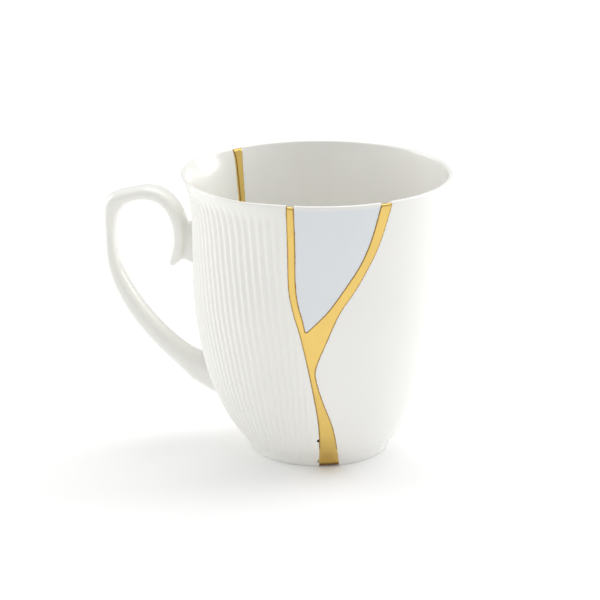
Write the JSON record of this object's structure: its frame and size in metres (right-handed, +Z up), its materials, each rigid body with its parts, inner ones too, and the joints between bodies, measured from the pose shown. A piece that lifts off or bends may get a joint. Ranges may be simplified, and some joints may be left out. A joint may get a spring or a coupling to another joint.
{
  "type": "kintsugi mug",
  "caption": "Porcelain mug with an ear-shaped handle, put together from a fluted, a pale blue and a smooth shard by a gold seam.",
  "frame": {"origin": "middle of the bounding box, on the surface the mug stands on", "axes": "+Z up; the handle points along -X; the middle of the seam's fork faces -Y, 12 degrees round towards +X"},
  "size_m": [0.124, 0.0932, 0.1],
  "materials": {
    "fluted_porcelain": "glossy glaze",
    "blue_glaze": "glossy glaze",
    "white_porcelain": "glossy glaze",
    "gold": "polished gold"
  },
  "bodies": {
    "root": {"fluted_shard": "fluted_porcelain", "blue_shard": "blue_glaze", "smooth_shard": "white_porcelain", "gold_seam": "gold"}
  },
  "joints": []
}
